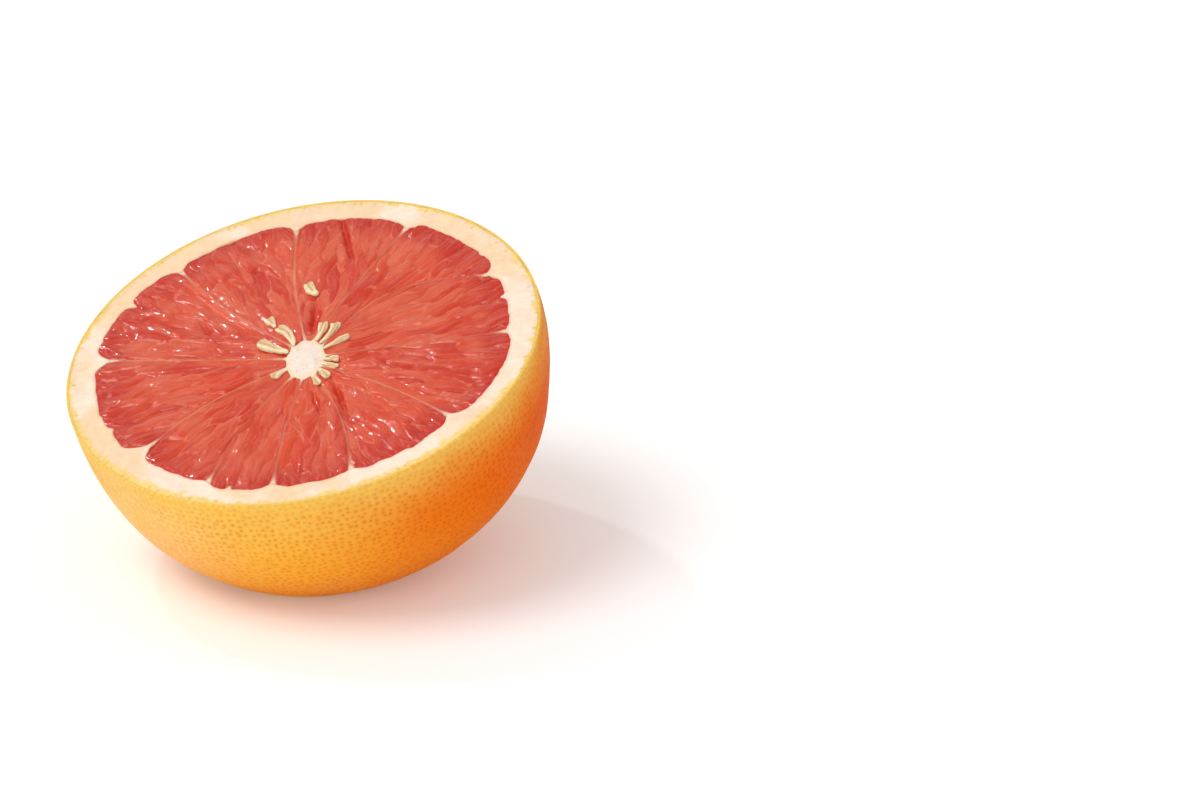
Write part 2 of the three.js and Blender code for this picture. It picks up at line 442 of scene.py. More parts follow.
def scaled(tree, value, from_low, from_high, to_low, to_high):
    inputs = {
        "Value": value,
        "From Min": from_low,
        "From Max": from_high,
        "To Min": to_low,
        "To Max": to_high,
    }
    return add_node(tree, "ShaderNodeMapRange", inputs).outputs["Result"]


def computed(tree, operation, *values):
    return add_node(tree, "ShaderNodeMath", dict(enumerate(values)), operation=operation).outputs[0]


def blended(tree, share, first, second, mode="MIX"):
    inputs = {0: share, 6: first, 7: second}
    made = add_node(tree, "ShaderNodeMix", inputs, data_type="RGBA", blend_type=mode)
    return made.outputs[2]


def bumped(tree, height, distance_mm, strength, normal=None):
    inputs = {"Height": height, "Distance": distance_mm * MM, "Strength": strength}
    if normal is not None:
        inputs["Normal"] = normal
    return add_node(tree, "ShaderNodeBump", inputs).outputs["Normal"]


def rgba(colour):
    return (*map(float, colour), 1.0)


def tissue(base, roughness, normal, subsurface, ior, specular):
    """The shader's inputs for plant tissue. Subsurface is a weight, radii and a scale in mm."""
    weight, radii, scale = subsurface
    return {
        "Base Color": base,
        "Roughness": roughness,
        "Normal": normal,
        "Subsurface Weight": weight,
        "Subsurface Radius": radii,
        "Subsurface Scale": scale * MM,
        "IOR": ior,
        "Specular IOR Level": specular,
    }


def peel_material():
    """Waxy peel, with a dark dot and a small pit at each oil gland."""
    material, tree = new_material("peel")
    tint = attribute(tree, "tint", "Color")
    from_gland = attribute(tree, "gland", "Vector")
    pore = add_node(tree, "ShaderNodeVectorMath", {0: from_gland}, operation="LENGTH").outputs["Value"]
    contrast = attribute(tree, "contrast", "Fac")
    dot = computed(tree, "MULTIPLY", scaled(tree, pore, 0.5, 0.12, 0.0, 0.9), contrast)
    halo = scaled(tree, pore, 0.85, 0.4, 0.0, 0.16)
    mottle = scaled(tree, fine_noise(tree, 3.5), 0.3, 0.7, 0.0, 0.4)
    grain = scaled(tree, fine_noise(tree, 0.5), 0.3, 0.7, 0.9, 1.0)
    lighter = blended(tree, 1.0, tint, (1.0, 1.12, 1.3, 1.0), "MULTIPLY")
    darker = blended(tree, 1.0, tint, (0.88, 0.56, 0.3, 1.0), "MULTIPLY")
    base = blended(tree, mottle, tint, lighter)
    base = blended(tree, halo, base, darker)
    base = blended(tree, dot, base, darker)
    base = blended(tree, 1.0, base, grain, "MULTIPLY")
    pit = scaled(tree, pore, 0.1, 0.7, 0.0, 1.0)
    normal = bumped(tree, fine_noise(tree, 0.7, 4), 0.05, 0.7)
    normal = bumped(tree, pit, 0.1, 0.8, normal)
    rough = scaled(tree, fine_noise(tree, 2.0), 0.3, 0.7, 0.45, 0.6)
    close_material(tree, tissue(base, rough, normal, (0.1, (1.0, 0.45, 0.1), 1.0), 1.4, 0.03))
    return material


def pale_material(name, mottle, bumps, roughness, subsurface, ior, specular):
    """Pith, core and pips: a mottled tint and fine bumps.

    Mottle and roughness are a size and a range; a bump is a size, detail, distance and strength.
    """
    material, tree = new_material(name)
    tint = attribute(tree, "tint", "Color")
    size, low, high = mottle
    share = scaled(tree, fine_noise(tree, size, 4), 0.3, 0.7, low, high)
    base = blended(tree, 1.0, tint, share, "MULTIPLY")
    normal = None
    for size, detail, distance, strength in bumps:
        normal = bumped(tree, fine_noise(tree, size, detail), distance, strength, normal)
    size, low, high = roughness
    rough = scaled(tree, fine_noise(tree, size), 0.3, 0.7, low, high)
    close_material(tree, tissue(base, rough, normal, subsurface, ior, specular))
    return material


def pith_material():
    return pale_material(
        "pith", (1.6, 0.93, 1.03), [(0.5, 5, 0.12, 0.6), (2.4, 3, 0.25, 0.5)],
        (1.2, 0.5, 0.68), (0.35, (1.0, 0.6, 0.35), 1.5), 1.38, 0.4,
    )


def pulp_material():
    """Wet flesh, with fibres that run along each sac and paler sac walls."""
    material, tree = new_material("pulp")
    tint = attribute(tree, "tint", "Color")
    wall = attribute(tree, "wall", "Fac")
    fibre = noise_texture(tree, attribute(tree, "grain", "Vector"), 0.4, 4.0, 0.58)
    inside = scaled(tree, wall, 0.1, 0.35, 0.0, 1.0)
    fibre = blended(tree, inside, (0.5, 0.5, 0.5, 1.0), fibre)
    milk = blended(tree, 0.35, tint, rgba(srgb(236, 134, 106)))
    deep = blended(tree, 1.0, tint, (0.94, 0.72, 0.68, 1.0), "MULTIPLY")
    base = blended(tree, scaled(tree, fibre, 0.52, 0.68, 0.0, 0.6), tint, milk)
    base = blended(tree, scaled(tree, fibre, 0.48, 0.32, 0.0, 0.6), base, deep)
    off_middle = computed(tree, "ABSOLUTE", computed(tree, "SUBTRACT", fibre, 0.54))
    streak = scaled(tree, off_middle, 0.01, 0.0, 0.0, 0.22)
    base = blended(tree, streak, base, rgba(srgb(240, 156, 128)))
    base = blended(tree, scaled(tree, wall, 0.17, 0.02, 0.0, 0.42), base, rgba(srgb(240, 144, 112)))
    normal = bumped(tree, fibre, 0.06, 0.5)
    normal = bumped(tree, fine_noise(tree, 1.0, 1.0), 0.11, 0.55, normal)
    rough = scaled(tree, fibre, 0.3, 0.7, 0.2, 0.34)
    inputs = tissue(base, rough, normal, (0.35, (1.0, 0.25, 0.18), 1.6), 1.36, 0.25)
    close_material(tree, {**inputs, "Coat Weight": 0.7, "Coat Roughness": 0.06, "Coat IOR": 1.36})
    return material


def core_material():
    return pale_material(
        "core", (0.8, 0.94, 1.03), [(0.45, 5, 0.2, 0.7)],
        (0.6, 0.62, 0.8), (0.35, (1.0, 0.7, 0.5), 1.2), 1.36, 0.3,
    )


def pip_material():
    return pale_material(
        "pip", (0.5, 0.86, 1.04), [(0.35, 4, 0.1, 0.7)],
        (0.4, 0.42, 0.62), (0.2, (1.0, 0.7, 0.4), 0.6), 1.4, 0.5,
    )


# ---- the peel

PEEL_COLUMNS = 768
PEEL_SPACING = 0.47
PEEL_THICKNESS = 1.2
INSIDE_SINKINGS = (0.04, 0.12, 0.25, 0.4, 0.55, 0.7, 0.82, 0.92, 0.98)  # shares of the depth
PORE_SPACING = 1.55
SPOT_HEIGHT = 0.02  # how far the flat spot stays above the floor


def peel_profile(spacing):
    """Radius and depth at even steps along the peel, from the face to the pole."""
    turn = np.linspace(0, np.pi / 2, 4000)
    radius = FACE_RADIUS * np.cos(turn) ** (2 / FULLNESS)
    depth = BODY_DEPTH * np.sin(turn) ** (2 / FULLNESS)
    length = np.concatenate([[0], np.cumsum(np.hypot(np.diff(radius), np.diff(depth)))])
    rows = max(int(length[-1] / spacing), 2)
    along = np.linspace(0, length[-1], rows + 1)
    return np.interp(along, length, radius), np.interp(along, length, depth)


def peel_pores(rng):
    """Oil glands in uneven rows all over the peel: places and sizes."""
    places = []
    radii, depths = peel_profile(PORE_SPACING * 0.9)
    for radius, depth in zip(radii, depths):
        count = max(int(2 * np.pi * radius / PORE_SPACING), 1)
        angles = 360 * (np.arange(count) + rng.random()) / count
        angles += rng.normal(0, 0.15, count) * 360 / count
        down = depth + rng.normal(0, 0.16, count) * PORE_SPACING
        down = np.clip(down, 0.1, BODY_DEPTH)
        out = FACE_RADIUS * narrowing_at(down / BODY_DEPTH) if radius > 20 else np.full(count, radius)
        down = down if radius > 20 else np.full(count, depth)
        flat = direction(angles) * out[:, None]
        places.append(np.column_stack([flat[:, 0] + drift_at(down), flat[:, 1], -down]))
    places = np.concatenate(places)
    return places, rng.uniform(0.75, 1.3, len(places))


def nearest_pore(points, pores):
    tree = kdtree.KDTree(len(pores))
    for index, pore in enumerate(pores):
        tree.insert(Vector(pore), index)
    tree.balance()
    return np.array([tree.find(Vector(point))[1] for point in points])


def mark_glands(mesh, points, pores, sizes):
    """Writes at each face's corners how they lie from the gland nearest to that face."""
    at_corner = read_values(mesh.loops, "vertex_index", np.int32)
    corner_count = read_values(mesh.polygons, "loop_total", np.int32)
    face = np.repeat(np.arange(len(corner_count)), corner_count)
    place = points[at_corner]
    middle = np.column_stack([np.bincount(face, place[:, axis]) for axis in range(3)])
    nearest = nearest_pore(middle / corner_count[:, None], pores)[face]
    away = (place - pores[nearest]) / sizes[nearest][:, None]
    write_attribute(mesh, "gland", away, "CORNER")


def ring_count(radius):
    """How many columns a ring of the peel has, halved again and again towards the pole."""
    count = PEEL_COLUMNS
    while count > 25 and 2 * np.pi * radius / count < 0.72 * PEEL_SPACING:
        count //= 2
    return count


def peel_normals(outer):
    """The way out of the peel at each corner, from the profile's slope, and the radius there."""
    spoke = outer[:, :2] - np.column_stack([drift_at(-outer[:, 2]), np.zeros(len(outer))])
    radius = np.linalg.norm(spoke, axis=1)
    steep = np.clip(radius / FACE_RADIUS, 1e-6, 1) ** (FULLNESS - 1) / FACE_RADIUS
    flat_part = np.clip(-outer[:, 2] / BODY_DEPTH, 1e-6, 1) ** (FULLNESS - 1) / BODY_DEPTH
    normal = np.column_stack([spoke / np.maximum(radius, 1e-6)[:, None] * steep[:, None], -flat_part])
    return normal / np.linalg.norm(normal, axis=1)[:, None], radius


def build_peel(material):
    rng = np.random.default_rng(5)
    corners = []
    counts = []
    radii, depths = peel_profile(PEEL_SPACING)
    for radius, depth in zip(radii[:-1], depths[:-1]):
        count = ring_count(radius)
        flat = direction(360 * np.arange(count) / count) * radius
        corners.append(np.column_stack([flat[:, 0] + drift_at(depth), flat[:, 1], np.full(count, -depth)]))
        counts.append(count)
    corners.append(np.array([[drift_at(BODY_DEPTH), 0, -BODY_DEPTH]]))
    outer = np.concatenate(corners)
    outer_rings = len(counts)

    normal, radius = peel_normals(outer)
    pores, sizes = peel_pores(rng)
    nearest = nearest_pore(outer, pores)
    pore = np.linalg.norm(outer - pores[nearest], axis=1) / sizes[nearest]
    fade = smooth(0, 3, -outer[:, 2])
    push = 0.3 * noise(outer, 24, 21, 2) * fade + 0.1 * noise(outer, 6, 31, 2) * fade
    push -= 0.05 * np.exp(-(pore / 0.35) ** 2)
    push -= SCAR_DEPTH * (1 - smooth(0.4 * SCAR_RADIUS, SCAR_RADIUS, radius)) * (outer[:, 2] < -40)
    surface = outer + normal * push[:, None]

    # The thin edge of the peel that shows on the cut face, then its hidden inside.
    inside = []
    count = PEEL_COLUMNS
    lip = [(FACE_RADIUS - 0.1, 0.05), (FACE_RADIUS - 0.4, 0.07), (FACE_RADIUS - PEEL_THICKNESS, -0.2)]
    angles = 360 * np.arange(count) / count
    ragged = noise(direction(angles) * 50, 1.8, 41)
    for radius, height in lip:
        inside.append(np.column_stack([direction(angles) * radius, height + 0.03 * ragged]))
        counts.append(count)
    inside_depth = BODY_DEPTH - PEEL_THICKNESS
    for sinking in INSIDE_SINKINGS:
        count = max(count // 2, 48)
        flat = direction(360 * np.arange(count) / count) * (FACE_RADIUS - PEEL_THICKNESS)
        inside.append(tapered(flat, sinking * inside_depth, inside_depth))
        counts.append(count)
    pole = np.array([[drift_at(BODY_DEPTH), 0, -inside_depth]])
    whole = np.concatenate([surface, *inside, pole])

    starts = np.concatenate([[0], np.cumsum(counts[:outer_rings])])
    faces = []
    for index in range(outer_rings - 1):
        faces += ring_faces(starts[index], counts[index], starts[index + 1], counts[index + 1])
    tip = starts[outer_rings]
    faces += fan_faces(starts[outer_rings - 1], counts[outer_rings - 1], tip)
    start = tip + 1
    faces += ring_faces(start, PEEL_COLUMNS, 0, PEEL_COLUMNS)
    inner_counts = counts[outer_rings:]
    for here, below in zip(inner_counts[:-1], inner_counts[1:]):
        faces += ring_faces(start + here, below, start, here)
        start += here
    faces += fan_faces(start, inner_counts[-1], len(whole) - 1)

    # The flat spot is pressed just above the floor, and the hidden inside stays above it.
    lowest = np.full(len(whole), SPOT_HEIGHT + 0.75 * PEEL_THICKNESS)
    lowest[:len(surface)] = SPOT_HEIGHT
    points = pressed(whole, lowest)
    peel = finished_piece(
        "rind_peel", points, faces, material, "rind",
        {"tint": peel_tint(points), "contrast": dot_contrast(points)},
    )
    mark_glands(peel.data, whole, pores, sizes)


def peel_tint(points):
    """Golden orange with a few blemishes. Deeper towards +x, partly its own tone and partly painted shade;
    pinker at the left and paler there, partly painted light; painted light near the cut face and painted
    shade lower down.
    """
    sunk = -points[:, 2]
    # A deeper orange towards +x: partly the peel's own tone, partly painted shade and painted reflected
    # orange on that flank.
    deep = smooth(8, 56, points[:, 0] - 0.35 * points[:, 1] + 5 * noise(points, 30, 51))
    deep *= 0.7 + 0.3 * smooth(2, 16, sunk)
    # Paler towards the left: partly the peel's own tone, partly painted light on the lit side.
    pale = smooth(-5, -42, points[:, 0] + 5 * noise(points, 26, 52))
    # Lighter and yellower near the cut face: painted light.
    high = 1 - smooth(2, 20, sunk)
    # Deep orange on the far +x flank: painted shade and painted reflected orange.
    far = smooth(38, 54, points[:, 0]) * smooth(0, 16, sunk)
    # Darker orange lower down: painted shade.
    low = smooth(10, 44, sunk)
    rosy = smooth(0.1, 0.9, noise(points, 16, 53)) * (0.25 + 0.75 * pale)
    yellow = smooth(0.1, 0.9, noise(points, 13, 54))
    speck = smooth(0.78, 0.95, noise(points, 1.6, 55, 1)) * smooth(0.0, 0.4, noise(points, 18, 56))
    # A yellow band along the cut edge, wider at the front right: painted light glowing through the thin
    # peel.
    degrees = degrees_round(points)
    wide = smooth(250, 300, degrees) * smooth(358, 330, degrees)
    reach = (0.8 + 3.8 * wide) * (1 + 0.35 * noise(points, 5, 58))
    edge = np.exp(-1.6 * (np.maximum(sunk, 0) / reach) ** 1.4)
    return layered(srgb(255, 184, 58), [
        ((243, 108, 0), deep),
        ((255, 210, 142), 0.85 * pale),
        ((255, 204, 100), 0.6 * high * (1 - 0.9 * deep)),
        ((230, 80, 0), 0.6 * far),
        ((236, 124, 16), 0.7 * low * (1 - 0.6 * pale)),
        ((245, 152, 84), 0.7 * rosy),
        ((255, 204, 84), 0.4 * yellow * (1 - deep)),
        ((150, 92, 40), 0.7 * speck),
        ((255, 206, 98), 0.85 * edge),
    ])


def dot_contrast(points):
    """The oil glands show more towards +x, and vary in patches."""
    side = smooth(-50, 20, points[:, 0])
    strength = 0.45 + 0.4 * side + 0.25 * noise(points, 11, 57) + 0.35 * noise(points, 2.2, 59, 1)
    return np.clip(strength, 0.1, 1.0) * (0.3 + 0.7 * smooth(0.5, 5, -points[:, 2]))


# ---- the pith

PITH_COLUMNS = 1200
PITH_ROWS = 22
PITH_DEPTHS = (0.15, 0.6, 1.6, 4, 9, 16, 24, 31, 37, 40.5)
PITH_INSET = 0.6 * PEEL_THICKNESS  # how far inside the peel's surface the pith's wall is
RIM_INSET = 0.4 * PEEL_THICKNESS  # where the pith's face ends, under the peel's lip


def build_pith(material):
    angles = 360 * np.arange(PITH_COLUMNS) / PITH_COLUMNS
    inner = cavity_at(angles)
    outer = direction(angles) * (FACE_RADIUS - PITH_INSET)
    rim = direction(angles) * (FACE_RADIUS - RIM_INSET)
    rings = []
    for row in range(PITH_ROWS + 1):
        share = row / PITH_ROWS
        flat = mix(inner, rim, share)
        height = 0.12 * noise(flat, 2.2, 61) + 0.1 * noise(flat, 7, 62)
        height -= 0.06 * (1 - smooth(0.0, 0.05, share))
        height = height * (1 - smooth(0.8, 1.0, share)) + 0.02 * smooth(0.85, 1.0, share)
        rings.append(np.column_stack([flat, height]))
    face_corners = np.concatenate(rings)
    inner_rings = []
    outer_rings = []
    count = PITH_COLUMNS
    for depth in PITH_DEPTHS:
        step = PITH_COLUMNS // count
        inner_rings.append(tapered(inner[::step], depth + 0.3, CAVITY_DEPTH))
        outer_rings.append(tapered(outer[::step], depth * 1.17, BODY_DEPTH - PITH_INSET))
        if depth > 0.6:
            count = max(count // 2, 75)
    inner_pole = np.array([[drift_at(CAVITY_DEPTH), 0, -CAVITY_DEPTH]])
    outer_pole = np.array([[drift_at(BODY_DEPTH), 0, PITH_INSET - BODY_DEPTH]])
    corners = np.concatenate([face_corners, *inner_rings, inner_pole, *outer_rings, outer_pole])
    corners = pressed(corners, SPOT_HEIGHT + RIM_INSET)

    faces = []
    for row in range(PITH_ROWS):
        faces += ring_faces(row * PITH_COLUMNS, PITH_COLUMNS, (row + 1) * PITH_COLUMNS, PITH_COLUMNS)
    start = len(face_corners)
    for side, before in ((inner_rings, 0), (outer_rings, PITH_ROWS * PITH_COLUMNS)):
        before_count = PITH_COLUMNS
        for ring in side:
            faces += ring_faces(start, len(ring), before, before_count)
            before, before_count = start, len(ring)
            start += len(ring)
        faces += fan_faces(before, before_count, start)
        start += 1
    tint = pith_tint(corners)
    finished_piece("rind_pith", corners, faces, material, "rind", {"tint": tint})


def pith_tint(corners):
    """Cream, turning yellow where it meets the peel, with the cut oil glands as darker dots."""
    radius = np.linalg.norm(corners[:, :2], axis=1)
    degrees = degrees_round(corners)
    from_rim = FACE_RADIUS - radius
    at_face = corners[:, 2] > -1
    ragged = 0.7 * noise(corners, 2.0, 71) + 0.45 * noise(corners, 6, 74)
    ragged -= 1.3 * smooth(195, 225, degrees) * smooth(262, 240, degrees)
    ragged -= 0.8 * smooth(268, 300, degrees) * smooth(345, 325, degrees)
    yellow = (1 - smooth(0.7, 1.7, from_rim + ragged)) * at_face
    creamy = smooth(-0.6, 0.6, noise(corners, 9, 73) + 0.6 * np.cos(np.radians(degrees - 135)))
    rosy = smooth(0.1, 0.9, noise(corners, 6, 72))

    rng = np.random.default_rng(8)
    count = int(2 * np.pi * FACE_RADIUS / PORE_SPACING)
    gland_angles = 360 * (np.arange(count) + rng.normal(0, 0.2, count)) / count
    gland_inset = rng.uniform(0.7, 1.9, count)
    gland_strength = rng.uniform(0, 1, count) ** 1.5
    nearest = np.abs(turn_from(gland_angles[None, :], degrees[:, None])).argmin(axis=1)
    sideways = np.radians(turn_from(gland_angles[nearest], degrees)) * radius
    offset = np.hypot(sideways / 0.42, (from_rim - gland_inset[nearest]) / 0.55)
    gland = (1 - smooth(0.5, 1.3, offset)) * at_face * gland_strength[nearest]
    near_flesh = radius - np.linalg.norm(cavity_at(degrees), axis=1)
    blush = (1 - smooth(0.0, 0.9, near_flesh)) * at_face
    return layered(srgb(253, 231, 209), [
        ((248, 208, 158), 0.75 * creamy),
        ((254, 216, 190), 0.45 * rosy),
        ((252, 212, 118), 0.85 * yellow),
        ((242, 180, 70), 0.7 * gland),
        ((250, 196, 164), 0.6 * blush),
    ])


# ---- the flesh

PULP_SPACING = 0.25
SEPTUM_STEPS = np.array([0, 0.1, 0.2, 0.32, 0.5])  # columns close to each septum
SEPTUM_HALF_WIDTH = 0.22
SEPTUM_SAMPLES = 60
SEGMENT_ROWS = 175
SEGMENT_LENGTH = 45  # about how far the flesh runs from the core to the pith
SAC_WIDTH = 1.2
SAC_LENGTH = 5.8
SAC_THROWS = 9000
WALL_DEPTHS = (1.2, 3, 7, 13, 20, 28, 35, 39.5)


def segment_grid(index):
    """The face of a segment as rows from the core to the pith and columns across."""
    width = np.linalg.norm(septum_point(index, 1.0) - septum_point(index + 1, 1.0))
    inner_count = int(width / PULP_SPACING)
    rows = np.linspace(0, 1, SEGMENT_ROWS)
    rows = 1 - (1 - rows) ** 1.12
    left = septum_point(index, rows)
    right = septum_point(index + 1, rows)
    gap = np.linalg.norm(right - left, axis=1)
    edge = np.minimum(SEPTUM_STEPS / gap[:, None], 0.3 * SEPTUM_STEPS / SEPTUM_STEPS[-1])
    middle = mix(edge[:, -1:], 1 - edge[:, -1:], np.linspace(0, 1, inner_count)[None, 1:-1])
    across = np.concatenate([edge, middle, 1 - edge[:, ::-1]], axis=1)
    row_share = np.broadcast_to(rows[:, None], across.shape)
    bottom = core_side(index, across.ravel()).reshape(*across.shape, 2)
    top = back_side(index, across.ravel()).reshape(*across.shape, 2)
    up = row_share[..., None]
    side = across[..., None]
    sides = mix(left[:, None], right[:, None], side)
    ends = mix(bottom, top, up)
    corners = mix(mix(left[0], right[0], side), mix(left[-1], right[-1], side), up)
    return sides + ends - corners, across, row_share


def sac_centres(index, points, rng):
    """Throws juice sacs into a segment, each long and narrow and pointing to the core."""
    low = points.min(axis=0) - 2
    high = points.max(axis=0) + 2
    middle_line = septum_point(index, 0.6) + septum_point(index + 1, 0.6)
    middle_angle = math.atan2(*(middle_line / 2 - CORE_MIDDLE)[::-1])
    chosen = []
    for _ in range(SAC_THROWS):
        place = rng.uniform(low, high)
        spoke = place - CORE_MIDDLE
        distance = np.linalg.norm(spoke)
        if distance < 3 or distance > 56:
            continue
        side = (math.atan2(spoke[1], spoke[0]) - middle_angle + math.pi) % (2 * math.pi) - math.pi
        heading = math.atan2(spoke[1], spoke[0]) - 0.55 * side + rng.normal(0, 0.16)
        along = np.array([math.cos(heading), math.sin(heading)])
        scale = rng.uniform(0.7, 1.25)
        width = SAC_WIDTH * scale * min(0.55 + distance / 60, 1.25)
        length = SAC_LENGTH * scale * rng.uniform(0.8, 1.3)
        for other in chosen:
            step = place - other[0:2]
            ahead = step @ other[2:4]
            beside = step[0] * -other[3] + step[1] * other[2]
            if math.hypot(beside / (other[4] + width), ahead / (other[5] + length)) < 0.78:
                break
        else:
            chosen.append([*place, *along, width, length])
    return np.array(chosen)


def distance_to_line(points, start, end):
    start = np.array(start)
    step = np.array(end) - start
    share = np.clip((points - start) @ step / (step @ step), 0, 1)
    return np.linalg.norm(points - start - share[:, None] * step, axis=1), share


def septum_distances(index, flat, across, up):
    """How far each corner is from the septum on either side."""
    shares = np.linspace(0, 1, SEPTUM_SAMPLES)
    left_line = septum_point(index, shares)
    right_line = septum_point(index + 1, shares)
    gap = np.interp(up, shares, np.linalg.norm(right_line - left_line, axis=1))
    distances = []
    for line, beside in ((left_line, across * gap), (right_line, (1 - across) * gap)):
        distance = np.linalg.norm(flat[:, None] - line[None], axis=2).min(axis=1)
        distances.append(np.where(beside < 1.5, np.minimum(distance, beside), distance))
    return distances


def sac_relief(index, flat, rng):
    """Gives each corner to the nearest sac: height, distance to its wall, crown, tone, grain."""
    sacs = sac_centres(index, flat, rng)
    warp = np.column_stack([noise(flat, 5, 81 + index, 2), noise(flat + 50, 5, 81 + index, 2)]) * 0.8
    step = (flat + warp)[:, None] - sacs[None, :, 0:2]
    ahead = (step * sacs[None, :, 2:4]).sum(axis=2)
    beside = step[..., 1] * sacs[None, :, 2] - step[..., 0] * sacs[None, :, 3]
    reach = np.hypot(beside / sacs[None, :, 4], ahead / sacs[None, :, 5])
    order = np.argpartition(reach, 1, axis=1)[:, :2]
    pair = np.take_along_axis(reach, order, axis=1)
    swap = pair[:, 0] > pair[:, 1]
    nearest = np.where(swap, order[:, 1], order[:, 0])
    neighbour = np.where(swap, order[:, 0], order[:, 1])
    first = pair.min(axis=1)
    second = pair.max(axis=1)
    width = sacs[nearest, 4]
    wall = (second - first) * 0.5 * width

    lift = rng.normal(0, 0.05, len(sacs))
    rare = rng.random(len(sacs))
    lift += np.where(rare < 0.08, 0.18, 0) - np.where(rare > 0.94, 0.28, 0)
    tilt_beside = rng.normal(0, 0.095, len(sacs))
    tilt_ahead = rng.normal(0, 0.015, len(sacs))
    tone = rng.random(len(sacs))[nearest]
    crown = 1 - np.clip(first / np.maximum(second, 1e-6), 0, 1) ** 2
    corner = np.arange(len(flat))
    levels = [
        lift[sac] + tilt_beside[sac] * beside[corner, sac] + tilt_ahead[sac] * ahead[corner, sac]
        for sac in (neighbour, nearest)
    ]
    height = -0.14 + mix(*levels, 0.5 + 0.5 * smooth(0.0, 0.18, wall)) + 0.12 * crown * width
    height += 0.15 * noise(flat, 6, 91 + index) + 0.045 * noise(flat, 1.8, 92 + index, 2)
    height += 0.03 * (1 - smooth(0.0, 0.2, wall))
    grain = np.column_stack([
        beside[corner, nearest] * 2.2, ahead[corner, nearest] * 0.4, nearest * 3.7,
    ])
    return height, wall, crown, tone, grain


def smooth_band(index, flat, left, right, up):
    """1 where the cut ran along a septum and left the flesh smooth."""
    band = np.zeros(len(flat))
    for segment, side, start, end, wide in SMOOTH_BANDS:
        if segment == index:
            distance = (right if side else left) + 0.5 * noise(flat, 4, 95)
            inside = smooth(start - 0.1, start + 0.1, up) * (1 - smooth(end - 0.05, end + 0.05, up))
            band = np.maximum(band, inside * (1 - smooth(0.5 * wide, wide, distance)))
    return band


def hollow_depth(index, flat):
    hollow = np.zeros(len(flat))
    for segment, start, end, half_width, depth in HOLLOWS:
        if segment == index:
            distance, share = distance_to_line(flat, start, end)
            distance = distance + 0.35 * half_width * noise(flat, 2.0, 97)
            dip = np.exp(-(distance / half_width) ** 2)
            dip = dip * np.sin(np.pi * np.clip(0.15 + 0.7 * share, 0, 1))
            hollow = np.maximum(hollow, dip * depth)
    return hollow


def segment_solid(flat, height, shape):
    """Corners and faces: the cut face, and side walls that go down to a tapering tip."""
    grid = np.arange(len(flat)).reshape(shape)
    faces = np.stack([
        grid[:-1, :-1], grid[:-1, 1:], grid[1:, 1:], grid[1:, :-1],
    ], axis=-1).reshape(-1, 4).tolist()
    border = np.concatenate([grid[0, :-1], grid[:-1, -1], grid[-1, :0:-1], grid[:0:-1, 0]])
    parts = [np.column_stack([flat, height])]
    start = len(flat)
    before = border
    for depth in WALL_DEPTHS:
        parts.append(tapered(flat[border], depth, CAVITY_DEPTH - 0.1))
        following = start + np.arange(len(border))
        faces += np.column_stack([
            before, np.roll(before, -1), np.roll(following, -1), following,
        ]).tolist()
        before = following
        start += len(border)
    parts.append(parts[-1].mean(axis=0, keepdims=True))
    faces += fan_faces(start - len(border), len(border), start)
    return np.concatenate(parts), faces


